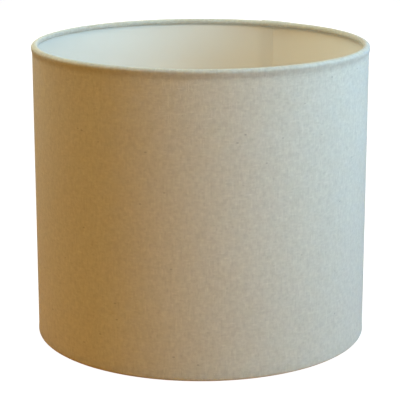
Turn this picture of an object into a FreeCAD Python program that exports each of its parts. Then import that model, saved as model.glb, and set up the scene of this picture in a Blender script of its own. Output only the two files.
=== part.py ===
"""Drum lamp shade: linen-look cloth on a rigid styrene panel, rolled over two wire hoops.

The shade stands on its lower rim, with its axis on +Z and its origin on the axis at the lower rim.
The ring that sits on the lamp is carried by three cranked wires from the lower hoop.
All sizes are in millimetres and all angles in degrees.
"""
import math
import os

import FreeCAD
import Part

# Overall sizes, over the cloth
SHADE_DIAMETER = 250.0
SHADE_HEIGHT = 222.0

# Sheet materials
CLOTH_THICKNESS = 0.4
LINER_THICKNESS = 0.3
TAPE_THICKNESS = 0.1

# Hoops, and the cloth rolled round them
HOOP_WIRE_DIAMETER = 3.2
HEM_END_ANGLE = 310.0        # where the rolled cloth ends, tucked between the hoop and the liner
TAPE_START_ANGLE = 20.0      # the ring tape runs round the wire from here ...
TAPE_END_ANGLE = 340.0       # ... to here, and leaves a slit that faces the liner

# Lapped seam of the panel
SEAM_ANGLE = 62.0            # where the panel's inner end lies
SEAM_LAP = 8.0               # how far the outer end passes over the inner end
SEAM_RAMP = 24.0             # length over which the outer end rises on to the inner end
SEAM_TURN_UNDER = 6.5        # cloth turned in under the outer end
RAMP_STATIONS = 5            # sections of the hem along that rise

# Wires that carry the lamp ring
SPOKE_COUNT = 3
FIRST_SPOKE_ANGLE = 90.0
SPOKE_WIRE_DIAMETER = 3.0
SPOKE_FOOT = 15.0            # level wire next to the hoop
SPOKE_CRANK_RUN = 12.0       # level distance that the sloping wire covers
SPOKE_BEND_RADIUS = 7.0      # to the wire's centre line
SPOKE_HOLE_CLEARANCE = 0.15  # between a spoke and the cloth or tape round it
SPOKE_SLIT_WIDTH = 0.8       # slit in the rolled cloth, from the spoke to the tucked end
WELD_SINK = 0.4              # how deep a spoke sits into the lamp ring

# Lamp ring, a steel washer
LAMP_RING_BORE = 42.0
LAMP_RING_DIAMETER = 60.0
LAMP_RING_THICKNESS = 1.2
LAMP_RING_EDGE_ROUND = 0.4
LAMP_RING_HEIGHT = 20.0      # its underside, above the lower rim
SPOKE_OVER_RING = 3.5        # how far each spoke reaches in over the ring

# Plastic reducer that drops into the lamp ring
REDUCER_BORE = 29.0
REDUCER_FLANGE_DIAMETER = 50.0
REDUCER_FLANGE_THICKNESS = 1.6
REDUCER_WALL = 1.4
REDUCER_RIB_COUNT = 8
REDUCER_RIB_THICKNESS = 1.2
REDUCER_CLEARANCE = 0.1      # between its spigot and the lamp ring's bore
REDUCER_SNAP = 0.35          # how far its snap lugs stand out past the bore
REDUCER_SNAP_HEIGHT = 0.9
REDUCER_SNAP_GAP = 0.1       # between the lugs and the lamp ring's underside
REDUCER_SNAP_COUNT = 4
REDUCER_SNAP_ANGLE = 24.0    # how much of the circle each lug takes

# Worked out from the sizes above
WALL_RADIUS = SHADE_DIAMETER / 2
LINER_RADIUS = WALL_RADIUS - CLOTH_THICKNESS - LINER_THICKNESS
TAPED_WIRE_RADIUS = HOOP_WIRE_DIAMETER / 2 + TAPE_THICKNESS
ROLL_RADIUS = TAPED_WIRE_RADIUS + CLOTH_THICKNESS
HOOP_RADIUS = LINER_RADIUS - TAPED_WIRE_RADIUS
UPPER_HOOP_Z = SHADE_HEIGHT - ROLL_RADIUS
LOWER_HOOP_Z = ROLL_RADIUS
SHOULDER_RADIUS = WALL_RADIUS - HOOP_RADIUS
SHOULDER_Z = SHADE_HEIGHT - SHOULDER_RADIUS
PANEL_THICKNESS = CLOTH_THICKNESS + LINER_THICKNESS
SEAM_RISE = PANEL_THICKNESS + TAPE_THICKNESS + CLOTH_THICKNESS
LAP_ANGLE = math.degrees(SEAM_LAP / WALL_RADIUS)
RAMP_ANGLE = math.degrees(SEAM_RAMP / WALL_RADIUS)
TURN_UNDER_ANGLE = math.degrees(SEAM_TURN_UNDER / WALL_RADIUS)
FOLD_ANGLE = math.degrees(CLOTH_THICKNESS / WALL_RADIUS)
PANEL_START = SEAM_ANGLE
RAMP_START = SEAM_ANGLE + 360.0 - RAMP_ANGLE
LAP_START = SEAM_ANGLE + 360.0
PANEL_END = LAP_START + LAP_ANGLE
SPOKE_TOP_Z = LAMP_RING_HEIGHT + LAMP_RING_THICKNESS - WELD_SINK + SPOKE_WIRE_DIAMETER / 2
SPOKE_INNER_RADIUS = LAMP_RING_DIAMETER / 2 - SPOKE_OVER_RING

UP = FreeCAD.Vector(0, 0, 1)
ORIGIN = FreeCAD.Vector(0, 0, 0)


def polar(radius, angle, z=0.0):
    """Point at a radius and an angle round the shade's axis."""
    a = math.radians(angle)
    return FreeCAD.Vector(radius * math.cos(a), radius * math.sin(a), z)


def level_arc(radius, start, end, z=0.0):
    """Arc round the shade's axis, from one angle to another."""
    middle = polar(radius, (start + end) / 2, z)
    return Part.Arc(polar(radius, start, z), middle, polar(radius, end, z)).toShape()


def line(a, b):
    """Straight edge between two points."""
    return Part.LineSegment(a, b).toShape()


def rise_share(angle):
    """Share of the seam's rise that the panel has reached at an angle, easing in and out."""
    t = min(max((angle - RAMP_START) / RAMP_ANGLE, 0.0), 1.0)
    return t * t * (3 - 2 * t)


def ramp_curve(radius, z=0.0):
    """Smooth curve that lifts a face of the panel by the seam's rise."""
    count = 8
    angles = [RAMP_START + RAMP_ANGLE * i / count for i in range(count + 1)]
    points = [polar(radius + SEAM_RISE * rise_share(a), a, z) for a in angles]
    curve = Part.BSplineCurve()
    tangent_in = polar(1, RAMP_START + 90)
    tangent_out = polar(1, LAP_START + 90)
    curve.interpolate(Points=points, InitialTangent=tangent_in, FinalTangent=tangent_out)
    return curve.toShape()


def panel_face_edges(radius, end, z=0.0):
    """Edges of one face of the panel: round the shade, up the ramp and over the lap."""
    half_way = (PANEL_START + RAMP_START) / 2
    return [
        level_arc(radius, PANEL_START, half_way, z),
        level_arc(radius, half_way, RAMP_START, z),
        ramp_curve(radius, z),
        level_arc(radius + SEAM_RISE, LAP_START, end, z),
    ]


def panel_prism(edges):
    """Solid of a level outline, as tall as the liner."""
    face = Part.Face(Part.Wire(Part.__sortEdges__(edges)))
    return face.extrude(FreeCAD.Vector(0, 0, SHADE_HEIGHT - 2 * SHOULDER_RADIUS))


def styrene_liner():
    """Rigid sheet rolled into a tube, with its outer end lapped over its inner end."""
    z = SHOULDER_RADIUS
    inner, outer = LINER_RADIUS, LINER_RADIUS + LINER_THICKNESS
    edges = panel_face_edges(inner, PANEL_END, z) + panel_face_edges(outer, PANEL_END, z)
    edges.append(line(polar(inner, PANEL_START, z), polar(outer, PANEL_START, z)))
    edges.append(line(polar(inner + SEAM_RISE, PANEL_END, z), polar(outer + SEAM_RISE, PANEL_END, z)))
    return panel_prism(edges)


def cloth_wall():
    """Cloth on the liner's outside, turned in round the liner's outer end."""
    z = SHOULDER_RADIUS
    inner, outer = LINER_RADIUS + LINER_THICKNESS, WALL_RADIUS
    fold_end = PANEL_END + FOLD_ANGLE
    under_top = LINER_RADIUS + SEAM_RISE
    under_bottom = under_top - CLOTH_THICKNESS
    under_start = PANEL_END - TURN_UNDER_ANGLE
    edges = panel_face_edges(inner, PANEL_END, z) + panel_face_edges(outer, fold_end, z)
    edges.append(line(polar(inner, PANEL_START, z), polar(outer, PANEL_START, z)))
    edges.append(line(polar(outer + SEAM_RISE, fold_end, z), polar(under_bottom, fold_end, z)))
    edges.append(level_arc(under_bottom, under_start, fold_end, z))
    edges.append(line(polar(under_bottom, under_start, z), polar(under_top, under_start, z)))
    edges.append(level_arc(under_top, under_start, PANEL_END, z))
    edges.append(line(polar(under_top, PANEL_END, z), polar(inner + SEAM_RISE, PANEL_END, z)))
    return panel_prism(edges)


def section_point(angle, centre_z, radius_out, radius_up, turn):
    """Point of a hem section: at a turn round an ellipse centred over the hoop, in the plane at an angle."""
    t = math.radians(turn)
    return polar(HOOP_RADIUS + radius_out * math.cos(t), angle, centre_z + radius_up * math.sin(t))


def round_edge(angle, centre_z, radius, start, end):
    """Arc of a hem section round the hoop."""
    points = [section_point(angle, centre_z, radius, radius, t) for t in (start, (start + end) / 2, end)]
    return Part.Arc(*points).toShape()


def shoulder_edge(angle, radius_out, radius_up):
    """Quarter ellipse of a hem section, from the wall up to the top of the roll."""
    centre = polar(HOOP_RADIUS, angle, SHOULDER_Z)
    if abs(radius_out - radius_up) < 1e-6:
        return round_edge(angle, SHOULDER_Z, radius_up, 0.0, 90.0)
    out = section_point(angle, SHOULDER_Z, radius_out, radius_up, 0.0)
    up = section_point(angle, SHOULDER_Z, radius_out, radius_up, 90.0)
    if radius_out > radius_up:
        ellipse = Part.Ellipse(out, up, centre)
        return Part.ArcOfEllipse(ellipse, 0.0, math.pi / 2).toShape()
    ellipse = Part.Ellipse(up, out, centre)
    return Part.ArcOfEllipse(ellipse, -math.pi / 2, 0.0).toShape()


def hem_section(angle, rise_outside, rise_inside):
    """Closed outline of the rolled cloth in the plane at an angle: over the shoulder and round the hoop."""
    outer_out = SHOULDER_RADIUS + rise_outside
    inner_out = SHOULDER_RADIUS - CLOTH_THICKNESS + rise_inside
    inner_up = SHOULDER_RADIUS - CLOTH_THICKNESS
    hoop_z = UPPER_HOOP_Z
    edges = [
        shoulder_edge(angle, outer_out, SHOULDER_RADIUS),
        round_edge(angle, hoop_z, ROLL_RADIUS, 90.0, HEM_END_ANGLE),
        line(
            section_point(angle, hoop_z, ROLL_RADIUS, ROLL_RADIUS, HEM_END_ANGLE),
            section_point(angle, hoop_z, TAPED_WIRE_RADIUS, TAPED_WIRE_RADIUS, HEM_END_ANGLE),
        ),
        round_edge(angle, hoop_z, TAPED_WIRE_RADIUS, 90.0, HEM_END_ANGLE),
        shoulder_edge(angle, inner_out, inner_up),
        line(
            section_point(angle, SHOULDER_Z, inner_out, inner_up, 0.0),
            section_point(angle, SHOULDER_Z, outer_out, SHOULDER_RADIUS, 0.0),
        ),
    ]
    return Part.Wire(Part.__sortEdges__(edges))


def turned(wire, sweep):
    """Solid of a section turned round the shade's axis."""
    return Part.Face(wire).revolve(ORIGIN, UP, sweep)


def upper_hem():
    """Cloth rolled over the upper hoop, thicker where the panel laps."""
    plain = turned(hem_section(PANEL_END + FOLD_ANGLE - 360.0, 0.0, 0.0), RAMP_START - PANEL_END - FOLD_ANGLE + 360.0)
    sections = []
    for i in range(RAMP_STATIONS + 1):
        angle = RAMP_START + RAMP_ANGLE * i / RAMP_STATIONS
        rise = SEAM_RISE * rise_share(angle)
        sections.append(hem_section(angle, rise, rise))
    ramp = Part.makeLoft(sections, True, False)
    lap = turned(hem_section(LAP_START, SEAM_RISE, 0.0), LAP_ANGLE + FOLD_ANGLE)
    return plain.fuse([ramp, lap])


def mirrored(shape):
    """The same shape upside down, at the other rim."""
    return shape.mirror(FreeCAD.Vector(0, 0, SHADE_HEIGHT / 2), UP)


def spoke_angles():
    """Angles of the spokes round the shade."""
    return [FIRST_SPOKE_ANGLE + 360.0 * i / SPOKE_COUNT for i in range(SPOKE_COUNT)]


def spoke_passage(angle):
    """Space that a spoke needs where it leaves the rolled cloth, with the slit up to the cloth's end.

    A spoke that is thicker than the taped hoop starts its hole past the hoop's centre.
    """
    hole_radius = SPOKE_WIRE_DIAMETER / 2 + SPOKE_HOLE_CLEARANCE
    past_hoop = max(0.0, hole_radius - TAPED_WIRE_RADIUS)
    reach = ROLL_RADIUS + past_hoop + 1.0
    start = polar(HOOP_RADIUS + past_hoop, angle, LOWER_HOOP_Z)
    hole = Part.makeCylinder(hole_radius, reach, start, polar(-1, angle))
    slit = Part.makeBox(reach, SPOKE_SLIT_WIDTH, reach, FreeCAD.Vector(-reach, -SPOKE_SLIT_WIDTH / 2, 0))
    slit.rotate(ORIGIN, UP, angle)
    slit.translate(start)
    return hole.fuse(slit)


def cloth_cover():
    """One sheet of cloth: the wall, and the hems rolled over both hoops."""
    hem = upper_hem()
    cover = cloth_wall().fuse([hem, mirrored(hem)])
    cover = cover.cut(Part.makeCompound([spoke_passage(a) for a in spoke_angles()]))
    return cover.removeSplitter()


def seam_tape():
    """Double-sided tape between the cloth of the inner end and the turned-in cloth of the outer end."""
    z = SHOULDER_RADIUS
    edges = [
        level_arc(WALL_RADIUS, LAP_START, PANEL_END, z),
        level_arc(WALL_RADIUS + TAPE_THICKNESS, LAP_START, PANEL_END, z),
        line(polar(WALL_RADIUS, LAP_START, z), polar(WALL_RADIUS + TAPE_THICKNESS, LAP_START, z)),
        line(polar(WALL_RADIUS, PANEL_END, z), polar(WALL_RADIUS + TAPE_THICKNESS, PANEL_END, z)),
    ]
    return panel_prism(edges)


def hoop(z):
    """Ring of round wire, butt-welded and dressed smooth."""
    return Part.makeTorus(HOOP_RADIUS, HOOP_WIRE_DIAMETER / 2, FreeCAD.Vector(0, 0, z), UP)


def hoop_tape(z, slit_angles=()):
    """Double-sided tape wrapped round a hoop's wire, open in a slit that faces the liner."""
    wire_radius = HOOP_WIRE_DIAMETER / 2
    ends = []
    for turn in (TAPE_START_ANGLE, TAPE_END_ANGLE):
        inside = section_point(0.0, z, wire_radius, wire_radius, turn)
        outside = section_point(0.0, z, TAPED_WIRE_RADIUS, TAPED_WIRE_RADIUS, turn)
        ends.append(line(inside, outside))
    faces = [round_edge(0.0, z, r, TAPE_START_ANGLE, TAPE_END_ANGLE) for r in (wire_radius, TAPED_WIRE_RADIUS)]
    tape = turned(Part.Wire(Part.__sortEdges__(ends + faces)), 360.0)
    if slit_angles:
        tape = tape.cut(Part.makeCompound([spoke_passage(a) for a in slit_angles]))
    return tape


def spoke(angle):
    """Cranked wire from the lower hoop up to the lamp ring, coped on to the hoop and sunk into the ring."""
    radii = [
        HOOP_RADIUS,
        HOOP_RADIUS - SPOKE_FOOT,
        HOOP_RADIUS - SPOKE_FOOT - SPOKE_CRANK_RUN,
        SPOKE_INNER_RADIUS,
    ]
    heights = [LOWER_HOOP_Z, LOWER_HOOP_Z, SPOKE_TOP_Z, SPOKE_TOP_Z]
    points = [polar(r, angle, z) for r, z in zip(radii, heights)]
    slope = math.atan2(SPOKE_TOP_Z - LOWER_HOOP_Z, SPOKE_CRANK_RUN)
    trim = SPOKE_BEND_RADIUS * math.tan(slope / 2)
    edges, start = [], points[0]
    for before, corner, after in zip(points, points[1:], points[2:]):
        into = (corner - before).normalize()
        out = (after - corner).normalize()
        bisector = (out - into).normalize()
        near, far = corner - into * trim, corner + out * trim
        to_centre = SPOKE_BEND_RADIUS / math.cos(slope / 2)
        middle = corner + bisector * (to_centre - SPOKE_BEND_RADIUS)
        edges += [line(start, near), Part.Arc(near, middle, far).toShape()]
        start = far
    edges.append(line(start, points[-1]))
    path = Part.Wire(edges)
    section = Part.Wire(Part.makeCircle(SPOKE_WIRE_DIAMETER / 2, points[0], polar(-1, angle)))
    wire = path.makePipeShell([section], True, True)
    return wire.cut([hoop(LOWER_HOOP_Z), lamp_ring()])


def lamp_ring():
    """Pressed steel washer that sits on the lamp, with rounded edges."""
    bore = LAMP_RING_BORE / 2
    base = FreeCAD.Vector(0, 0, LAMP_RING_HEIGHT)
    ring = Part.makeCylinder(LAMP_RING_DIAMETER / 2, LAMP_RING_THICKNESS, base)
    ring = ring.cut(Part.makeCylinder(bore, LAMP_RING_THICKNESS, base))
    rim = [e for e in ring.Edges if abs(e.BoundBox.XMax - LAMP_RING_DIAMETER / 2) < 1e-4 and len(e.Vertexes) == 1]
    return ring.makeFillet(LAMP_RING_EDGE_ROUND, rim)


def reducer_ring():
    """Ribbed plastic ring that narrows the lamp ring's bore: flange above, spigot and snap lugs below."""
    bore = REDUCER_BORE / 2
    spigot = LAMP_RING_BORE / 2 - REDUCER_CLEARANCE
    flange_z = LAMP_RING_HEIGHT + LAMP_RING_THICKNESS
    lug_top = LAMP_RING_HEIGHT - REDUCER_SNAP_GAP
    foot_z = lug_top - REDUCER_SNAP_HEIGHT

    def tube(inner, outer, low, high):
        base = FreeCAD.Vector(0, 0, low)
        return Part.makeCylinder(outer, high - low, base).cut(Part.makeCylinder(inner, high - low, base))

    flange = tube(bore, REDUCER_FLANGE_DIAMETER / 2, flange_z, flange_z + REDUCER_FLANGE_THICKNESS)
    pieces = [tube(bore, bore + REDUCER_WALL, foot_z, flange_z), tube(spigot - REDUCER_WALL, spigot, foot_z, flange_z)]
    for i in range(REDUCER_RIB_COUNT):
        length = spigot - bore - REDUCER_WALL
        corner = FreeCAD.Vector(bore + REDUCER_WALL / 2, -REDUCER_RIB_THICKNESS / 2, foot_z)
        rib = Part.makeBox(length, REDUCER_RIB_THICKNESS, flange_z - foot_z, corner)
        rib.rotate(ORIGIN, UP, 360.0 * i / REDUCER_RIB_COUNT)
        pieces.append(rib)
    lug_outer = LAMP_RING_BORE / 2 + REDUCER_SNAP
    for i in range(REDUCER_SNAP_COUNT):
        middle = 360.0 * (i + 0.5) / REDUCER_SNAP_COUNT
        start = middle - REDUCER_SNAP_ANGLE / 2
        outline = Part.makePolygon([
            polar(spigot - REDUCER_WALL / 2, start, foot_z),
            polar(spigot, start, foot_z),
            polar(lug_outer, start, lug_top),
            polar(spigot - REDUCER_WALL / 2, start, lug_top),
            polar(spigot - REDUCER_WALL / 2, start, foot_z),
        ])
        pieces.append(turned(outline, REDUCER_SNAP_ANGLE))
    return flange.fuse(pieces).removeSplitter()


def save(name, shape):
    """Writes one sub-part, and says what it is."""
    if not shape.isValid():
        raise ValueError(name + " is not a valid shape")
    solids = shape.Solids
    if not solids:
        raise ValueError(name + " holds no solid")
    out = solids[0] if len(solids) == 1 else Part.makeCompound(solids)
    out.exportStep("parts/" + name + ".step")
    print(name, "solids", len(solids), "volume", round(out.Volume, 2))


def main():
    os.makedirs("parts", exist_ok=True)
    save("cloth_cover", cloth_cover())
    save("styrene_liner", styrene_liner())
    save("seam_tape", seam_tape())
    save("upper_hoop", hoop(UPPER_HOOP_Z))
    save("lower_hoop", hoop(LOWER_HOOP_Z))
    save("upper_hoop_tape", hoop_tape(UPPER_HOOP_Z))
    save("lower_hoop_tape", hoop_tape(LOWER_HOOP_Z, spoke_angles()))
    for number, angle in enumerate(spoke_angles(), start=1):
        save("spoke_" + str(number), spoke(angle))
    save("lamp_ring", lamp_ring())
    save("reducer_ring", reducer_ring())


main()
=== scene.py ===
import math
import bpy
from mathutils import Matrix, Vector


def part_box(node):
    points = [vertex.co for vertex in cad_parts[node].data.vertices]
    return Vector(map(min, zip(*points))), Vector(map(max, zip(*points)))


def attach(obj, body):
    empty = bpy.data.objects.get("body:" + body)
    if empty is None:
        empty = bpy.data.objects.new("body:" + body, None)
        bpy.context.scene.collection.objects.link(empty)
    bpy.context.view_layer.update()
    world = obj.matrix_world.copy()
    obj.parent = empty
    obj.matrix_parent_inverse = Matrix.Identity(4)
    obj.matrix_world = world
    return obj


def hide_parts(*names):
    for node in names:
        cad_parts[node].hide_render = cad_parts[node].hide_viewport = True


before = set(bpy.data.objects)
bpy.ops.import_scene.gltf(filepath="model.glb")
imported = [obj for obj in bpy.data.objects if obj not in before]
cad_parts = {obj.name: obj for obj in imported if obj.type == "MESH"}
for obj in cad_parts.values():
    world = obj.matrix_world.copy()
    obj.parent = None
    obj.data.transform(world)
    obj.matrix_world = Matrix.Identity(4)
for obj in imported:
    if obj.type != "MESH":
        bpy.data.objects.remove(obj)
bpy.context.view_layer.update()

from types import SimpleNamespace

import bmesh
import bpy
from bpy.props import FloatProperty, FloatVectorProperty, PointerProperty
from bpy.types import Operator, Panel, PropertyGroup
from mathutils import Matrix, Vector, noise

bl_info = {
    "name": "Drum Lamp Shade",
    "version": (1, 0, 0),
    "blender": (4, 5, 0),
    "location": "View3D > Sidebar > Lamp Shade",
    "description": "Cloth, liner, wire carrier and finishes of a drum lamp shade",
    "category": "Object",
}

BODY = "root"
SHARP_EDGE = math.radians(40)
QUARTER = math.pi / 2
NEAR = 1e-5

# Steps of the panel's mesh: round the shade, up the wall, in the band by a hem, round a hem's shoulder and
# roll, and up the liner
ROUND_STEPS = 420
WALL_STEPS = 10
BAND_STEPS = 5
SHOULDER_STEPS = 6
ROLL_STEPS = 18
LINER_STEPS = 12

# Share of the upper hem's bulge and painted shade that the lower hem shows
LOWER_BULGE = 0.3
# Length over which the panel's inner end is thinned on to the lap, and how nearly it closes the step
END_TAPER = 0.0036
END_CLOSE = 0.85
# Turn past the hem's end that still counts as its tip
HEM_END_SLACK = 0.02
# Gap left for glue between the liner and the cloth
GLUE_GAP = 0.00005
# The weave's unevenness, with scales in waves to the metre
WANDER_SCALE, WANDER_THREADS = 90.0, 0.9
SLUB_SCALE, SLUB_SPAN, SLUB_LIGHT = 115.0, (0.56, 0.74), 0.05
YARN_SHARE, THIN_GAIN = 0.45, 0.22
# The second value is painted shade between the threads, darker where the weave lies low
THREAD_RISE, GAP_PAINTED_SHADE = 0.35, 0.10
MOTTLE_SCALE, MOTTLE_GAIN = 300.0, 0.26
# Husk flecks: cells to the metre, stretch along the weft, a fleck's edge and middle, and the share left out
FLECK_SCALE, FLECK_STRETCH, FLECK_SPAN, FLECK_SHARE = 115.0, 0.5, (0.085, 0.025), 0.35
# Waves to the metre of the hem's puckers, as (round the shade, upwards, noise offset)
RIPPLE = (260, 300, 3.0)
SLOW_RIPPLE = (55, 40, 7.0)
# Where the painted shade under each hem starts and stops, in metres over the top of the liner
HEM_PAINTED_SHADE_BELOW = (-0.007, -0.002)
HEM_PAINTED_SHADE_ABOVE = (0.0015, -0.0005)
# Where the painted shade of the lap on the liner fades out and is full, in metres from the panel's inner
# end
PAINTED_LAP_SHADE_SPAN = (0.016, 0.006)

# Weld beads: half sizes along the spoke, across it and up, and distance from the shade's axis
WELD_BEAD = (0.0027, 0.0024, 0.0013)
WELD_RADIUS = 0.0283
WELD_UNEVENNESS = 0.1

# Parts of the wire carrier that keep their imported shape
HOOPS = ("upper_hoop", "lower_hoop")
SPOKES = ("spoke_1", "spoke_2", "spoke_3")
TAPES = ("seam_tape", "upper_hoop_tape", "lower_hoop_tape")


def frame_sizes():
    """The frame's main sizes, in metres."""
    low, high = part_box("cloth_cover")
    liner_low, liner_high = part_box("styrene_liner")
    hoop_low, hoop_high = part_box("upper_hoop")
    tape_low, tape_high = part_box("upper_hoop_tape")
    wire = round(hoop_high.z - hoop_low.z, 4)
    return SimpleNamespace(
        radius=round(high.x, 4),
        height=round(high.z, 4),
        liner_outside=round(liner_high.x, 4),
        liner_low=round(liner_low.z, 4),
        liner_high=round(liner_high.z, 4),
        hoop_radius=round(hoop_high.x - wire / 2, 4),
        hoop_wire=wire,
        taped_wire=round((tape_high.z - tape_low.z) / 2, 4),
    )


SIZES = frame_sizes()


class ShadePanelSettings(PropertyGroup):
    """Sizes of the cloth and the liner, and of the seam where they lap."""

    cloth_thickness: FloatProperty(
        name="Cloth thickness",
        description="Thickness of the cloth",
        default=SIZES.radius - SIZES.liner_outside,
        unit="LENGTH",
    )
    liner_thickness: FloatProperty(
        name="Liner thickness",
        description="Thickness of the rigid liner",
        default=0.0003,
        unit="LENGTH",
    )
    seam_angle: FloatProperty(
        name="Seam angle",
        description="Where the panel's inner end lies, round from +X",
        default=math.radians(62.0),
        subtype="ANGLE",
    )
    seam_lap: FloatProperty(
        name="Seam lap",
        description="How far the panel's outer end passes over its inner end",
        default=0.008,
        unit="LENGTH",
    )
    seam_rise: FloatProperty(
        name="Seam rise",
        description="How far the outer end stands out over the inner end",
        default=0.0008,
        unit="LENGTH",
    )
    seam_ramp: FloatProperty(
        name="Seam ramp",
        description="Length over which the outer end rises",
        default=0.024,
        unit="LENGTH",
    )
    hem_end: FloatProperty(
        name="Hem end",
        description="Turn round the hoop at which the rolled cloth ends",
        default=math.radians(310.0),
        subtype="ANGLE",
    )
    hem_rise: FloatProperty(
        name="Hem rise",
        description="How far the hem's second layer stands off the hoop at the lap",
        default=0.0005,
        unit="LENGTH",
    )
    hem_pucker: FloatProperty(
        name="Hem pucker",
        description="Height of the small puckers in the rolled hem",
        default=0.00009,
        unit="LENGTH",
    )
    hem_bulge: FloatProperty(
        name="Hem bulge",
        description="How far the cloth stands out where it is pulled over a hoop",
        default=0.00075,
        unit="LENGTH",
    )
    hem_band: FloatProperty(
        name="Hem band",
        description="Height of the band over which the bulge fades into the wall",
        default=0.0048,
        unit="LENGTH",
    )


class ShadeClothSettings(PropertyGroup):
    """Colour, weave and painted hem shade of the cloth."""

    colour: FloatVectorProperty(
        name="Cloth colour",
        description="Colour of the bleached threads",
        subtype="COLOR",
        size=3,
        default=(0.66, 0.655, 0.575),
    )
    pitch: FloatProperty(
        name="Thread pitch",
        description="Distance from one thread to the next",
        default=0.00055,
        unit="LENGTH",
    )
    slub: FloatProperty(
        name="Slub",
        description="How strongly thick stretches of thread show",
        default=0.5,
        subtype="FACTOR",
    )
    fleck: FloatProperty(
        name="Fleck",
        description="How dark the husk flecks are",
        default=0.3,
        subtype="FACTOR",
    )
    # Painted shade: how much darker the cloth's colour is made in a band just under each hoop, standing in
    # for the shade under the hem's roll
    painted_hem_shade: FloatProperty(
        name="Hem shade",
        description="How much darker the cloth is where tape and glue lie behind it",
        default=0.17,
        subtype="FACTOR",
    )


class ShadeFinishSettings(PropertyGroup):
    """Colours of the liner, the metal coating, the plastic and the tape, and the painted shade over the
    liner's lap.
    """

    liner: FloatVectorProperty(
        name="Liner colour",
        description="Colour of the rigid liner",
        subtype="COLOR",
        size=3,
        default=(0.85, 0.83, 0.75),
    )
    # Painted shade: how much darker the liner's colour is made over the lap, standing in for the light that
    # the doubled sheet holds back
    painted_lap_shade: FloatProperty(
        name="Lap shade",
        description="How much darker the liner is where it is glued to its other end",
        default=0.08,
        subtype="FACTOR",
    )
    coating: FloatVectorProperty(
        name="Coating colour",
        description="Colour of the coated wire and ring",
        subtype="COLOR",
        size=3,
        default=(0.84, 0.84, 0.82),
    )
    plastic: FloatVectorProperty(
        name="Plastic colour",
        description="Colour of the reducer ring",
        subtype="COLOR",
        size=3,
        default=(0.86, 0.86, 0.84),
    )
    tape: FloatVectorProperty(
        name="Tape colour",
        description="Colour of the double-sided tape",
        subtype="COLOR",
        size=3,
        default=(0.78, 0.75, 0.64),
    )


class ShadeStageSettings(PropertyGroup):
    """Camera, floor and light of the stage."""

    camera_distance: FloatProperty(
        name="Camera distance",
        description="Level distance from the shade's axis to the camera",
        default=4.6584 * 2 * SIZES.radius,
        unit="LENGTH",
    )
    camera_height: FloatProperty(
        name="Camera height",
        description="Height of the camera over the floor",
        default=1.6007 * 2 * SIZES.radius,
        unit="LENGTH",
    )
    camera_tilt: FloatProperty(
        name="Camera tilt",
        description="How far the camera looks down",
        default=math.radians(14.451),
        subtype="ANGLE",
    )
    lens: FloatProperty(
        name="Focal length",
        description="Focal length of the camera, in millimetres",
        default=141.73,
    )
    camera_shift: FloatProperty(
        name="Camera shift",
        description="Sideways shift of the view, as a share of its width",
        default=-0.0015,
    )
    floor_colour: FloatVectorProperty(
        name="Floor colour",
        description="Colour of the floor",
        subtype="COLOR",
        size=3,
        default=(0.12, 0.12, 0.12),
    )
    floor_glow: FloatProperty(
        name="Floor glow",
        description="How brightly the floor shows by itself",
        default=1.0,
    )
    floor_bounce: FloatVectorProperty(
        name="Floor bounce",
        description="Colour of the light that the floor throws back",
        subtype="COLOR",
        size=3,
        default=(0.78, 0.35, 0.08),
    )
    room_colour: FloatVectorProperty(
        name="Room colour",
        description="Colour of the light from all round",
        subtype="COLOR",
        size=3,
        default=(1.0, 1.0, 1.0),
    )
    room_light: FloatProperty(
        name="Room light",
        description="Strength of the light from all round",
        default=0.0,
    )


# Mesh helpers


def rise_share(turn, sizes):
    """Share of the seam's rise that the panel has reached after a turn from its inner end."""
    ramp = sizes.seam_ramp / SIZES.radius
    t = min(max((turn - 2 * math.pi + ramp) / ramp, 0.0), 1.0)
    return t * t * (3 - 2 * t)


def run_to(bm, vert, radius, height):
    """Draws a straight run of a section, and returns its last vertex."""
    last = bmesh.ops.extrude_vert_indiv(bm, verts=[vert])["verts"][0]
    last.co = Vector((radius, 0, height))
    return last


def turn_round(bm, vert, centre, angle, steps):
    """Draws an arc of a section, anticlockwise with radius to the right and height up."""
    made = bmesh.ops.spin(
        bm, geom=[vert], cent=centre, axis=(0, -1, 0), angle=angle, steps=steps, use_duplicate=False
    )
    return [v for v in made["geom_last"] if isinstance(v, bmesh.types.BMVert)][0]


def sweep_panel(bm, section, sizes, sweep, turn_layer):
    """Sweeps a closed section round the shade from the panel's inner end, and closes both ends."""
    first = list(section)
    start = Matrix.Rotation(sizes.seam_angle, 3, "Z")
    bmesh.ops.rotate(bm, verts=bm.verts[:], cent=(0, 0, 0), matrix=start)
    ring = first
    for step in range(ROUND_STEPS):
        made = bmesh.ops.spin(
            bm, geom=ring, cent=(0, 0, 0), axis=(0, 0, 1), angle=sweep / ROUND_STEPS, steps=1,
            use_duplicate=False,
        )
        ring = [e for e in made["geom_last"] if isinstance(e, bmesh.types.BMEdge)]
        for edge in ring:
            for vert in edge.verts:
                vert[turn_layer] = sweep * (step + 1) / ROUND_STEPS
    for edges in (first, ring):
        bmesh.ops.triangle_fill(bm, edges=edges, use_beauty=True)


def outside_hoop(radius):
    """Whether a point of the section lies outside the hoops' wires."""
    return radius > SIZES.hoop_radius + SIZES.taped_wire * 0.5


def hem_lift(radius, height, sizes):
    """Direction, as (radius, height), and length of a lapping panel's lift at a point of its section."""
    top = height > SIZES.height / 2
    shoulder = SIZES.liner_high if top else SIZES.liner_low
    if (height - shoulder) * (1 if top else -1) <= 0 and outside_hoop(radius):
        return (1.0, 0.0), sizes.seam_rise
    out, up = radius - SIZES.hoop_radius, height - shoulder
    length = math.hypot(out, up)
    share = max(out / length, 0.0) ** 2
    return (out / length, up / length), sizes.hem_rise + (sizes.seam_rise - sizes.hem_rise) * share


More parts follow.
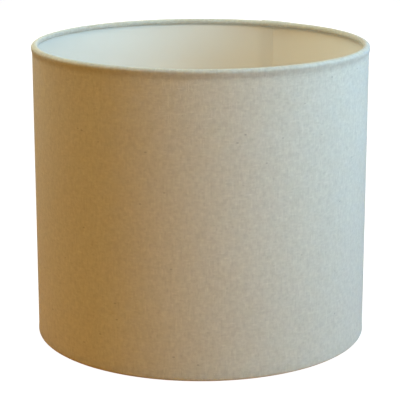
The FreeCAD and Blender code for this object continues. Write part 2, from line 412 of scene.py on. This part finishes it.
def bulge_share(radius, height, sizes):
    """Share of the hem's bulge at a point of the cloth: full on the shoulder, none down the wall."""
    top = height > SIZES.height / 2
    beyond = height - SIZES.liner_high if top else SIZES.liner_low - height
    if beyond <= 0 and outside_hoop(radius):
        t = min(max(1 + beyond / sizes.hem_band, 0.0), 1.0)
        return t * t * (3 - 2 * t)
    out = radius - SIZES.hoop_radius
    return max(out / math.hypot(out, beyond), 0.0) ** 2


def wall_heights(sizes):
    """Heights of the section's points up the wall, closer together in the bands next to the hems."""
    band = [sizes.hem_band * step / BAND_STEPS for step in range(BAND_STEPS)]
    low, high = SIZES.liner_low + sizes.hem_band, SIZES.liner_high - sizes.hem_band
    wall = [low + (high - low) * step / WALL_STEPS for step in range(WALL_STEPS + 1)]
    return [SIZES.liner_low + b for b in band] + wall + [SIZES.liner_high - b for b in reversed(band)]


def finish_mesh(bm, name):
    """Makes an object of a finished bmesh, smooth but for its sharp edges."""
    bmesh.ops.recalc_face_normals(bm, faces=bm.faces[:])
    for face in bm.faces:
        face.smooth = True
    for edge in bm.edges:
        edge.smooth = edge.calc_face_angle(0.0) < SHARP_EDGE
    mesh = bpy.data.meshes.new(name)
    bm.to_mesh(mesh)
    bm.free()
    piece = bpy.data.objects.new(name, mesh)
    bpy.context.scene.collection.objects.link(piece)
    return piece


def lay_uv(bm, turn_layer, along_layer):
    """Lays the panel's own flat coordinates on it in metres: round the shade, and along the cloth."""
    uv = bm.loops.layers.uv.new("Panel")
    for face in bm.faces:
        for loop in face.loops:
            loop[uv].uv = (loop.vert[turn_layer] * SIZES.radius, loop.vert[along_layer])


def cloth_section(bm, sizes):
    """Draws the cloth's closed section: outside, upper hem and back inside, then the lower hem."""
    hoop, roll = SIZES.hoop_radius, SIZES.taped_wire + sizes.cloth_thickness
    upper, lower = SIZES.height - roll, roll
    wrap, tip = sizes.hem_end - QUARTER, sizes.hem_end
    inner_wall = SIZES.radius - sizes.cloth_thickness
    high_shoulder, low_shoulder = (hoop, 0, SIZES.liner_high), (hoop, 0, SIZES.liner_low)
    heights = wall_heights(sizes)
    vert = bm.verts.new((SIZES.radius, 0, heights[0]))
    for height in heights[1:]:
        vert = run_to(bm, vert, SIZES.radius, height)
    vert = turn_round(bm, vert, high_shoulder, QUARTER, SHOULDER_STEPS)
    vert = turn_round(bm, vert, (hoop, 0, upper), wrap, ROLL_STEPS)
    wire = SIZES.taped_wire
    vert = run_to(bm, vert, hoop + wire * math.cos(tip), upper + wire * math.sin(tip))
    vert = turn_round(bm, vert, (hoop, 0, upper), -wrap, ROLL_STEPS)
    vert = turn_round(bm, vert, high_shoulder, -QUARTER, SHOULDER_STEPS)
    for height in reversed(heights[:-1]):
        vert = run_to(bm, vert, inner_wall, height)
    vert = turn_round(bm, vert, low_shoulder, -QUARTER, SHOULDER_STEPS)
    vert = turn_round(bm, vert, (hoop, 0, lower), -wrap, ROLL_STEPS)
    vert = run_to(bm, vert, hoop + roll * math.cos(tip), lower - roll * math.sin(tip))
    vert = turn_round(bm, vert, (hoop, 0, lower), wrap, ROLL_STEPS)
    turn_round(bm, vert, low_shoulder, QUARTER, SHOULDER_STEPS)
    bmesh.ops.remove_doubles(bm, verts=bm.verts[:], dist=1e-6)
    return bm.edges[:]


def length_along(vert, sizes):
    """Length along the cloth from the middle of the wall to a point of its section."""
    radius, height = vert.co.x, vert.co.z
    middle = SIZES.height / 2
    side = 1 if height > middle else -1
    shoulder_z = SIZES.liner_high if side > 0 else SIZES.liner_low
    wall = abs(height - middle)
    half_wall = abs(shoulder_z - middle)
    roll = SIZES.taped_wire + sizes.cloth_thickness
    if radius > SIZES.hoop_radius and wall <= half_wall:
        from_wire = math.hypot(radius - SIZES.hoop_radius, wall - half_wall)
        on_roll = from_wire < SIZES.taped_wire + sizes.cloth_thickness * 1.1
        if not on_roll or wall < half_wall - SIZES.taped_wire * 2:
            return side * wall
    shoulder = SIZES.radius - SIZES.hoop_radius
    centre = half_wall + shoulder - roll
    turn = math.atan2(wall - centre, radius - SIZES.hoop_radius) % (2 * math.pi)
    if turn < QUARTER or turn > sizes.hem_end + HEM_END_SLACK:
        turn = math.atan2(wall - half_wall, radius - SIZES.hoop_radius)
        return side * (half_wall + shoulder * max(turn, 0.0))
    return side * (half_wall + shoulder * QUARTER + roll * (turn - QUARTER))


def hem_pucker(vert, turn, sizes):
    """Height of the puckers where the cloth is gathered on to the smaller circle inside the hoop."""
    inward = SIZES.hoop_radius + SIZES.taped_wire - math.hypot(vert.co.x, vert.co.y)
    inside = min(max(inward / SIZES.hoop_wire, 0), 1)
    ripple, slow = [
        noise.noise(Vector((turn * SIZES.radius * across, vert.co.z * up, offset)))
        for across, up, offset in (RIPPLE, SLOW_RIPPLE)
    ]
    return sizes.hem_pucker * inside * (ripple + slow)


def close_seam(radius, height, turn, sizes):
    """Radius of a point after the panel's inner end is thinned out on to the lap behind it."""
    inside = SIZES.liner_outside - sizes.liner_thickness
    beyond = max(height - SIZES.liner_high, SIZES.liner_low - height)
    if radius < inside - NEAR or beyond > NEAR:
        return radius
    share = END_CLOSE * max(1 - turn * SIZES.radius / END_TAPER, 0.0)
    return radius + (inside + sizes.seam_rise - radius) * share


class SHADE_OT_cloth_cover(Operator):
    """Makes the cloth: one sheet round the liner, rolled over both hoops and lapped at the seam"""

    bl_idname = "shade.cloth_cover"
    bl_label = "Cloth Cover"

    def execute(self, context):
        sizes = context.scene.shade_panel
        bm = bmesh.new()
        turn_layer = bm.verts.layers.float.new("turn")
        along_layer = bm.verts.layers.float.new("along")
        section = cloth_section(bm, sizes)
        for vert in bm.verts:
            vert[along_layer] = length_along(vert, sizes)
        fold = sizes.cloth_thickness / SIZES.radius
        sweep = 2 * math.pi + sizes.seam_lap / SIZES.radius + fold
        sweep_panel(bm, section, sizes, sweep, turn_layer)
        lay_uv(bm, turn_layer, along_layer)
        for vert in bm.verts:
            radius, turn = math.hypot(vert.co.x, vert.co.y), vert[turn_layer]
            angle = sizes.seam_angle + turn
            (out, up), lift = hem_lift(radius, vert.co.z, sizes)
            lift *= rise_share(turn, sizes)
            top = vert.co.z > SIZES.height / 2
            on_roll = vert.co.z > SIZES.liner_high if top else vert.co.z < SIZES.liner_low
            if on_roll or radius < SIZES.hoop_radius + SIZES.taped_wire * 0.5:
                lift += hem_pucker(vert, turn, sizes)
            bulge = sizes.hem_bulge * (1.0 if top else LOWER_BULGE)
            swell = bulge * bulge_share(radius, vert.co.z, sizes)
            radius = close_seam(radius, vert.co.z, turn, sizes) + out * lift + swell
            height = vert.co.z + up * lift
            vert.co = Vector((radius * math.cos(angle), radius * math.sin(angle), height))
        piece = finish_mesh(bm, "cloth")
        piece.data.materials.append(cloth_material(context.scene.shade_cloth))
        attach(piece, BODY)
        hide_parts("cloth_cover")
        return {"FINISHED"}


class SHADE_OT_liner(Operator):
    """Makes the rigid liner: a sheet rolled into a tube, lapped at the seam"""

    bl_idname = "shade.liner"
    bl_label = "Liner"

    def execute(self, context):
        sizes = context.scene.shade_panel
        bm = bmesh.new()
        turn_layer = bm.verts.layers.float.new("turn")
        along_layer = bm.verts.layers.float.new("along")
        outside = SIZES.liner_outside - GLUE_GAP
        inside = SIZES.liner_outside - sizes.liner_thickness
        step = (SIZES.liner_high - SIZES.liner_low) / LINER_STEPS
        heights = [SIZES.liner_low + step * i for i in range(LINER_STEPS + 1)]
        vert = bm.verts.new((outside, 0, heights[0]))
        first = vert
        for height in heights[1:]:
            vert = run_to(bm, vert, outside, height)
        for height in reversed(heights):
            vert = run_to(bm, vert, inside, height)
        bm.edges.new((vert, first))
        for vert in bm.verts:
            vert[along_layer] = vert.co.z - SIZES.height / 2
        sweep = 2 * math.pi + sizes.seam_lap / SIZES.radius
        sweep_panel(bm, bm.edges[:], sizes, sweep, turn_layer)
        lay_uv(bm, turn_layer, along_layer)
        for vert in bm.verts:
            radius, turn = math.hypot(vert.co.x, vert.co.y), vert[turn_layer]
            angle = sizes.seam_angle + turn
            radius = close_seam(radius, vert.co.z, turn, sizes) + sizes.seam_rise * rise_share(turn, sizes)
            vert.co = Vector((radius * math.cos(angle), radius * math.sin(angle), vert.co.z))
        piece = finish_mesh(bm, "liner")
        piece.data.materials.append(liner_material(context.scene.shade_finish))
        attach(piece, BODY)
        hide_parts("styrene_liner")
        return {"FINISHED"}


# Materials


def new_material(name):
    """A material with its Principled shader: (material, tree, shader)."""
    material = bpy.data.materials.new(name)
    material.use_nodes = True
    tree = material.node_tree
    return material, tree, tree.nodes["Principled BSDF"]


def math_node(tree, operation, first, second=None, third=None):
    """A Math node fed by sockets or numbers; returns its output."""
    node = tree.nodes.new("ShaderNodeMath")
    node.operation = operation
    for socket, value in zip(node.inputs, (first, second, third)):
        if value is None:
            continue
        if isinstance(value, (int, float)):
            socket.default_value = value
        else:
            tree.links.new(value, socket)
    return node.outputs[0]


def new_group(name, inputs, outputs):
    """A shader node group with named sockets: (group, input node's outputs, output node's inputs)."""
    group = bpy.data.node_groups.new(name, "ShaderNodeTree")
    for label, kind, default in inputs:
        socket = group.interface.new_socket(label, in_out="INPUT", socket_type=kind)
        if default is not None:
            socket.default_value = default
    for label, kind in outputs:
        group.interface.new_socket(label, in_out="OUTPUT", socket_type=kind)
    source = group.nodes.new("NodeGroupInput")
    sink = group.nodes.new("NodeGroupOutput")
    return group, source.outputs, sink.inputs


def noise_value(tree, vector, scale, detail=2.0, roughness=0.5):
    """A Noise Texture's value."""
    node = tree.nodes.new("ShaderNodeTexNoise")
    node.inputs["Scale"].default_value = scale
    node.inputs["Detail"].default_value = detail
    node.inputs["Roughness"].default_value = roughness
    tree.links.new(vector, node.inputs["Vector"])
    return node.outputs[0]


def combine(tree, x, y, z=0.0):
    """A vector of three sockets or numbers."""
    node = tree.nodes.new("ShaderNodeCombineXYZ")
    for socket, value in zip(node.inputs, (x, y, z)):
        if isinstance(value, (int, float)):
            socket.default_value = value
        else:
            tree.links.new(value, socket)
    return node.outputs[0]


def smooth_step(tree, value, low, high):
    """How far a value has gone from low to high, eased at both ends."""
    node = tree.nodes.new("ShaderNodeMapRange")
    node.interpolation_type = "SMOOTHSTEP"
    node.inputs["From Min"].default_value = low
    node.inputs["From Max"].default_value = high
    tree.links.new(value, node.inputs["Value"])
    return node.outputs["Result"]


def weave_group():
    """Plain weave with slubs and husk flecks, on coordinates in metres; its tone darkens the gaps between
    threads as painted shade.
    """
    group, given, result = new_group(
        "Plain Weave",
        [
            ("Vector", "NodeSocketVector", None),
            ("Pitch", "NodeSocketFloat", 0.0005),
            ("Slub", "NodeSocketFloat", 0.5),
        ],
        [("Height", "NodeSocketFloat"), ("Tone", "NodeSocketFloat"), ("Fleck", "NodeSocketFloat")],
    )
    split = group.nodes.new("ShaderNodeSeparateXYZ")
    group.links.new(given["Vector"], split.inputs[0])
    across = []
    # Warp, then weft; the odd factors and seeds keep neighbouring threads unlike each other
    for axis, other, seed in ((0, 1, 11.3), (1, 0, 47.9)):
        threads = math_node(group, "DIVIDE", split.outputs[axis], given["Pitch"])
        wander = noise_value(group, combine(group, split.outputs[0], split.outputs[1], seed), WANDER_SCALE)
        threads = math_node(group, "ADD", threads, math_node(group, "MULTIPLY", wander, WANDER_THREADS))
        number = math_node(group, "FLOOR", threads)
        along = math_node(group, "MULTIPLY", split.outputs[other], SLUB_SCALE)
        slub_place = combine(group, math_node(group, "MULTIPLY", number, 7.31), along, seed)
        slub_noise = noise_value(group, slub_place, 1.0, 1.0)
        yarn = math_node(group, "FLOOR", math_node(group, "MULTIPLY", threads, YARN_SHARE))
        yarn_place = combine(group, math_node(group, "MULTIPLY", yarn, 3.17), along, seed + 5)
        thin = noise_value(group, yarn_place, 2.0, 1.5)
        wave = math_node(group, "SINE", math_node(group, "MULTIPLY", threads, math.pi))
        across.append((wave, smooth_step(group, slub_noise, *SLUB_SPAN), thin))
    (warp, warp_slub, warp_thin), (weft, weft_slub, weft_thin) = across
    over = math_node(group, "MULTIPLY", warp, weft)
    crown_warp = math_node(group, "ABSOLUTE", warp)
    crown_weft = math_node(group, "ABSOLUTE", weft)
    warp_up = math_node(group, "MULTIPLY_ADD", over, THREAD_RISE, crown_warp)
    weft_up = math_node(group, "MULTIPLY_ADD", over, -THREAD_RISE, crown_weft)
    height = math_node(group, "MAXIMUM", warp_up, weft_up)
    slubs = math_node(group, "ADD", warp_slub, weft_slub)
    slubs = math_node(group, "MULTIPLY", slubs, given["Slub"])
    group.links.new(math_node(group, "ADD", height, slubs), result["Height"])
    # Painted shade in the low places between the threads
    gap_shade = math_node(group, "MULTIPLY_ADD", height, GAP_PAINTED_SHADE, 1 - GAP_PAINTED_SHADE)
    thin = math_node(group, "ADD", warp_thin, weft_thin)
    thin = math_node(group, "MULTIPLY_ADD", thin, THIN_GAIN, 1 - THIN_GAIN)
    spot = combine(group, split.outputs[0], split.outputs[1], 2.0)
    mottle = noise_value(group, spot, MOTTLE_SCALE, 3.0, 0.6)
    mottle = math_node(group, "MULTIPLY_ADD", mottle, MOTTLE_GAIN, 1 - MOTTLE_GAIN / 2)
    tone = math_node(group, "MULTIPLY", math_node(group, "MULTIPLY", gap_shade, thin), mottle)
    light = math_node(group, "MULTIPLY_ADD", slubs, SLUB_LIGHT, 1.0)
    group.links.new(math_node(group, "MULTIPLY", tone, light), result["Tone"])
    cells = group.nodes.new("ShaderNodeTexVoronoi")
    cells.inputs["Scale"].default_value = FLECK_SCALE
    stretched = math_node(group, "MULTIPLY", split.outputs[0], FLECK_STRETCH)
    group.links.new(combine(group, stretched, split.outputs[1], 0.0), cells.inputs["Vector"])
    speck = smooth_step(group, cells.outputs["Distance"], *FLECK_SPAN)
    chance = group.nodes.new("ShaderNodeSeparateColor")
    group.links.new(cells.outputs["Color"], chance.inputs[0])
    chosen = math_node(group, "GREATER_THAN", chance.outputs[0], FLECK_SHARE)
    group.links.new(math_node(group, "MULTIPLY", speck, chosen), result["Fleck"])
    return group


def grain_group():
    """Fine unevenness of a moulded or coated surface."""
    group, given, result = new_group(
        "Surface Grain",
        [("Vector", "NodeSocketVector", None), ("Scale", "NodeSocketFloat", 400.0)],
        [("Height", "NodeSocketFloat"), ("Tone", "NodeSocketFloat")],
    )
    fine = group.nodes.new("ShaderNodeTexNoise")
    fine.inputs["Detail"].default_value = 3.0
    group.links.new(given["Vector"], fine.inputs["Vector"])
    group.links.new(given["Scale"], fine.inputs["Scale"])
    group.links.new(fine.outputs[0], result["Height"])
    broad = noise_value(group, given["Vector"], 22.0, 3.0)
    group.links.new(math_node(group, "MULTIPLY_ADD", broad, 0.06, 0.97), result["Tone"])
    return group


def use_group(tree, group, **values):
    """Places a node group in a material, with sockets or numbers on its inputs."""
    node = tree.nodes.new("ShaderNodeGroup")
    node.node_tree = group
    for label, value in values.items():
        socket = node.inputs[label.replace("_", " ")]
        if isinstance(value, (int, float)):
            socket.default_value = value
        else:
            tree.links.new(value, socket)
    return node.outputs


def shared(name, make):
    """A node group made once."""
    return bpy.data.node_groups.get(name) or make()


def tinted(tree, colour, tone):
    """A colour made lighter or darker by a value."""
    node = tree.nodes.new("ShaderNodeMix")
    node.data_type = "RGBA"
    node.blend_type = "MULTIPLY"
    node.inputs["Factor"].default_value = 1.0
    node.inputs["A"].default_value = (*colour, 1.0)
    tree.links.new(tone, node.inputs["B"])
    return node.outputs["Result"]


def bump(tree, shader, height, distance, strength=1.0):
    """Feeds a height to a shader's normal."""
    node = tree.nodes.new("ShaderNodeBump")
    node.inputs["Distance"].default_value = distance
    node.inputs["Strength"].default_value = strength
    tree.links.new(height, node.inputs["Height"])
    tree.links.new(node.outputs["Normal"], shader.inputs["Normal"])


def let_light_through(shader, radius, scale):
    """Lets light scatter through a thin sheet."""
    shader.inputs["Subsurface Weight"].default_value = 1.0
    shader.inputs["Subsurface Radius"].default_value = radius
    shader.inputs["Subsurface Scale"].default_value = scale


def painted_hem_shade(tree, along, side, depth):
    """Painted shade: a darker band of the cloth's colour just under a hoop, standing in for the shade under
    the hem's roll.
    """
    edge = side * (SIZES.liner_high - SIZES.liner_low) / 2
    begins = smooth_step(tree, along, *(edge + side * past for past in HEM_PAINTED_SHADE_BELOW))
    ends = smooth_step(tree, along, *(edge + side * past for past in HEM_PAINTED_SHADE_ABOVE))
    band = math_node(tree, "MULTIPLY", begins, ends)
    return math_node(tree, "MULTIPLY_ADD", band, -depth, 1.0)


def cloth_material(look):
    """Bleached linen-look cloth."""
    material, tree, shader = new_material("linen cloth")
    place = tree.nodes.new("ShaderNodeUVMap")
    place.uv_map = "Panel"
    weave = use_group(
        tree, shared("Plain Weave", weave_group), Vector=place.outputs[0], Pitch=look.pitch, Slub=look.slub
    )
    dark = math_node(tree, "MULTIPLY_ADD", weave["Fleck"], -look.fleck, 1.0)
    tone = math_node(tree, "MULTIPLY", weave["Tone"], dark)
    split = tree.nodes.new("ShaderNodeSeparateXYZ")
    tree.links.new(place.outputs[0], split.inputs[0])
    # Painted shade under both hems, fainter under the lower one
    for side, depth in ((1, look.painted_hem_shade), (-1, look.painted_hem_shade * LOWER_BULGE)):
        tone = math_node(tree, "MULTIPLY", tone, painted_hem_shade(tree, split.outputs[1], side, depth))
    tree.links.new(tinted(tree, look.colour, tone), shader.inputs["Base Color"])
    bump(tree, shader, weave["Height"], 0.00012)
    shader.inputs["Roughness"].default_value = 0.92
    shader.inputs["Specular IOR Level"].default_value = 0.25
    shader.inputs["Sheen Weight"].default_value = 0.12
    shader.inputs["Sheen Roughness"].default_value = 0.6
    let_light_through(shader, (1.0, 0.9, 0.75), 0.0006)
    return material


def liner_material(look):
    """Satin white styrene sheet."""
    material, tree, shader = new_material("white styrene")
    place = tree.nodes.new("ShaderNodeUVMap")
    place.uv_map = "Panel"
    grain = use_group(tree, shared("Surface Grain", grain_group), Vector=place.outputs[0], Scale=900.0)
    split = tree.nodes.new("ShaderNodeSeparateXYZ")
    tree.links.new(place.outputs[0], split.inputs[0])
    # Painted shade over the lap, standing in for the light that the doubled sheet holds back
    lap = smooth_step(tree, split.outputs[0], *PAINTED_LAP_SHADE_SPAN)
    painted_lap_tone = math_node(tree, "MULTIPLY_ADD", lap, -look.painted_lap_shade, 1.0)
    tone = math_node(tree, "MULTIPLY", grain["Tone"], painted_lap_tone)
    tree.links.new(tinted(tree, look.liner, tone), shader.inputs["Base Color"])
    bump(tree, shader, grain["Height"], 0.00001)
    shader.inputs["Roughness"].default_value = 0.5
    return material


def coated_material(name, colour, roughness, scale, depth):
    """A coated or moulded finish, with grain of a scale and depth on the piece's own coordinates."""
    material, tree, shader = new_material(name)
    place = tree.nodes.new("ShaderNodeTexCoord")
    group = shared("Surface Grain", grain_group)
    grain = use_group(tree, group, Vector=place.outputs["Object"], Scale=scale)
    tree.links.new(tinted(tree, colour, grain["Tone"]), shader.inputs["Base Color"])
    bump(tree, shader, grain["Height"], depth)
    shader.inputs["Roughness"].default_value = roughness
    return material


def dress(node, material):
    """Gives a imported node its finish."""
    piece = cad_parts[node]
    piece.data.materials.clear()
    piece.data.materials.append(material)


def weld_beads():
    """A bead of weld round the end of each spoke, on the lamp ring's face."""
    bm = bmesh.new()
    ring_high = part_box("lamp_ring")[1].z
    for number, node in enumerate(SPOKES):
        low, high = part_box(node)
        middle = (low + high) / 2
        angle = math.atan2(middle.y, middle.x)
        made = bmesh.ops.create_uvsphere(bm, u_segments=24, v_segments=14, radius=1.0)["verts"]
        for vert in made:
            spot = vert.co * 1.4 + Vector((number * 5.0, 0, 0))
            vert.co *= 1 + WELD_UNEVENNESS * noise.noise(spot)
        bmesh.ops.scale(bm, verts=made, vec=WELD_BEAD)
        place = Matrix.Rotation(angle, 4, "Z") @ Matrix.Translation((WELD_RADIUS, 0, ring_high))
        bmesh.ops.transform(bm, verts=made, matrix=place)
    return bm


class SHADE_OT_wire_carrier(Operator):
    """Finishes the hoops, the spokes and the lamp ring, and adds the weld at each joint"""

    bl_idname = "shade.wire_carrier"
    bl_label = "Wire Carrier"

    def execute(self, context):
        look = context.scene.shade_finish
        coating = coated_material(
            "white coating", look.coating, roughness=0.35, scale=1400.0, depth=0.00004
        )
        for node in (*HOOPS, *SPOKES, "lamp_ring"):
            dress(node, coating)
        welds = finish_mesh(weld_beads(), "welds")
        welds.data.materials.append(coating)
        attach(welds, BODY)
        return {"FINISHED"}


class SHADE_OT_small_parts(Operator):
    """Finishes the reducer ring and the tapes"""

    bl_idname = "shade.small_parts"
    bl_label = "Reducer and Tapes"

    def execute(self, context):
        look = context.scene.shade_finish
        plastic = coated_material(
            "white plastic", look.plastic, roughness=0.42, scale=2600.0, depth=0.00002
        )
        dress("reducer_ring", plastic)
        tape = coated_material("double-sided tape", look.tape, roughness=0.3, scale=600.0, depth=0.00003)
        for node in TAPES:
            dress(node, tape)
        return {"FINISHED"}


# Stage

# Each light: name, azimuth from the front towards +X, elevation, distance, size, colour and power
LIGHTS = (
    ("front", 0, 35, 1.80, 1.00, (1.0, 0.69, 0.26), 6.9),
    ("window_low", 56, 16, 1.80, 1.00, (0.42, 0.72, 1.0), 12.2),
    ("window_side", 90, 35, 1.80, 1.00, (0.42, 0.71, 1.0), 8.2),
    ("front_left", -30, 35, 1.80, 1.00, (1.0, 0.62, 0.21), 5.2),
    ("near_window", 60, 28, 0.62, 0.40, (0.45, 0.75, 1.0), 1.81),
    ("back", 180, 8, 1.80, 1.00, (1.0, 0.9, 0.76), 8.5),
    ("back_right", 120, 58, 0.62, 0.40, (1.0, 0.55, 0.12), 0.49),
    ("back_left_low", -120, 28, 0.62, 0.40, (1.0, 0.76, 0.35), 0.62),
    ("back_left_top", -120, 58, 0.62, 0.40, (0.84, 1.0, 0.93), 1.76),
)


def aim(place, target):
    """The turn of a light or camera at a place, so that it looks at a target."""
    return (target - place).to_track_quat("-Z", "Y").to_euler()


def floor_material(stage):
    """A pale, evenly lit floor that throws a little warm light on the shade, and is clear from below."""
    material, tree, seen = new_material("pale floor")
    seen.inputs["Base Color"].default_value = (*stage.floor_colour, 1.0)
    seen.inputs["Roughness"].default_value = 0.9
    seen.inputs["Emission Color"].default_value = (1.0, 1.0, 1.0, 1.0)
    seen.inputs["Emission Strength"].default_value = stage.floor_glow
    bounce = tree.nodes.new("ShaderNodeBsdfDiffuse")
    bounce.inputs["Color"].default_value = (*stage.floor_bounce, 1.0)
    path = tree.nodes.new("ShaderNodeLightPath")
    choose = tree.nodes.new("ShaderNodeMixShader")
    tree.links.new(path.outputs["Is Camera Ray"], choose.inputs[0])
    tree.links.new(bounce.outputs[0], choose.inputs[1])
    tree.links.new(seen.outputs[0], choose.inputs[2])
    clear = tree.nodes.new("ShaderNodeBsdfTransparent")
    side = tree.nodes.new("ShaderNodeNewGeometry")
    one_sided = tree.nodes.new("ShaderNodeMixShader")
    tree.links.new(side.outputs["Backfacing"], one_sided.inputs[0])
    tree.links.new(choose.outputs[0], one_sided.inputs[1])
    tree.links.new(clear.outputs[0], one_sided.inputs[2])
    tree.links.new(one_sided.outputs[0], tree.nodes["Material Output"].inputs["Surface"])
    return material


def studio_world(stage):
    """White surroundings, which give light only if the room light is raised."""
    world = bpy.data.worlds.new("studio")
    world.use_nodes = True
    tree = world.node_tree
    light = tree.nodes["Background"]
    light.inputs["Color"].default_value = (*stage.room_colour, 1.0)
    light.inputs["Strength"].default_value = stage.room_light
    seen = tree.nodes.new("ShaderNodeBackground")
    seen.inputs["Color"].default_value = (1.0, 1.0, 1.0, 1.0)
    path = tree.nodes.new("ShaderNodeLightPath")
    choose = tree.nodes.new("ShaderNodeMixShader")
    tree.links.new(path.outputs["Is Camera Ray"], choose.inputs[0])
    tree.links.new(light.outputs[0], choose.inputs[1])
    tree.links.new(seen.outputs[0], choose.inputs[2])
    tree.links.new(choose.outputs[0], tree.nodes["World Output"].inputs["Surface"])
    return world


class SHADE_OT_stage(Operator):
    """Makes the floor, the soft lights and the camera"""

    bl_idname = "shade.stage"
    bl_label = "Stage"

    def execute(self, context):
        scene, stage = context.scene, context.scene.shade_stage
        scene.view_settings.view_transform = "Standard"
        bm = bmesh.new()
        bmesh.ops.create_grid(bm, x_segments=8, y_segments=8, size=6.0)
        floor = finish_mesh(bm, "floor")
        floor.data.materials.append(floor_material(stage))
        scene.world = studio_world(stage)
        middle = Vector((0, 0, SIZES.height / 2))
        for name, azimuth, elevation, distance, size, colour, power in LIGHTS:
            lamp = bpy.data.lights.new(name, "AREA")
            lamp.shape = "DISK"
            lamp.size, lamp.color, lamp.energy = size, colour, power
            a, e = math.radians(azimuth), math.radians(elevation)
            towards = Vector((math.sin(a) * math.cos(e), -math.cos(a) * math.cos(e), math.sin(e)))
            place = middle + distance * towards
            light = bpy.data.objects.new(name, lamp)
            light.location, light.rotation_euler = place, aim(place, middle)
            light.visible_camera = False
            scene.collection.objects.link(light)
        camera = bpy.data.objects.new("camera", bpy.data.cameras.new("camera"))
        camera.data.lens, camera.data.sensor_width = stage.lens, 36.0
        camera.data.clip_start = 0.01
        camera.data.shift_x = stage.camera_shift
        camera.location = (0, -stage.camera_distance, stage.camera_height)
        camera.rotation_euler = (math.pi / 2 - stage.camera_tilt, 0, 0)
        scene.collection.objects.link(camera)
        scene.camera = camera
        return {"FINISHED"}


class SHADE_PT_sidebar(Panel):
    """Lists the steps that make the shade"""

    bl_idname = "SHADE_PT_sidebar"
    bl_label = "Drum Lamp Shade"
    bl_space_type = "VIEW_3D"
    bl_region_type = "UI"
    bl_category = "Lamp Shade"

    def draw(self, context):
        for group in ("shade_panel", "shade_cloth", "shade_finish", "shade_stage"):
            settings = getattr(context.scene, group)
            box = self.layout.box()
            for name in settings.__annotations__:
                box.prop(settings, name)
        for operator in OPERATORS:
            self.layout.operator(operator.bl_idname)


OPERATORS = (
    SHADE_OT_cloth_cover,
    SHADE_OT_liner,
    SHADE_OT_wire_carrier,
    SHADE_OT_small_parts,
    SHADE_OT_stage,
)
SETTINGS = {
    "shade_panel": ShadePanelSettings,
    "shade_cloth": ShadeClothSettings,
    "shade_finish": ShadeFinishSettings,
    "shade_stage": ShadeStageSettings,
}


def register():
    for settings in SETTINGS.values():
        bpy.utils.register_class(settings)
    for name, settings in SETTINGS.items():
        setattr(bpy.types.Scene, name, PointerProperty(type=settings))
    for operator in OPERATORS:
        bpy.utils.register_class(operator)
    bpy.utils.register_class(SHADE_PT_sidebar)


def unregister():
    bpy.utils.unregister_class(SHADE_PT_sidebar)
    for operator in reversed(OPERATORS):
        bpy.utils.unregister_class(operator)
    for name, settings in SETTINGS.items():
        delattr(bpy.types.Scene, name)
        bpy.utils.unregister_class(settings)


def main():
    register()
    bpy.ops.shade.cloth_cover()
    bpy.ops.shade.liner()
    bpy.ops.shade.wire_carrier()
    bpy.ops.shade.small_parts()
    bpy.ops.shade.stage()


if __name__ == "__main__":
    main()
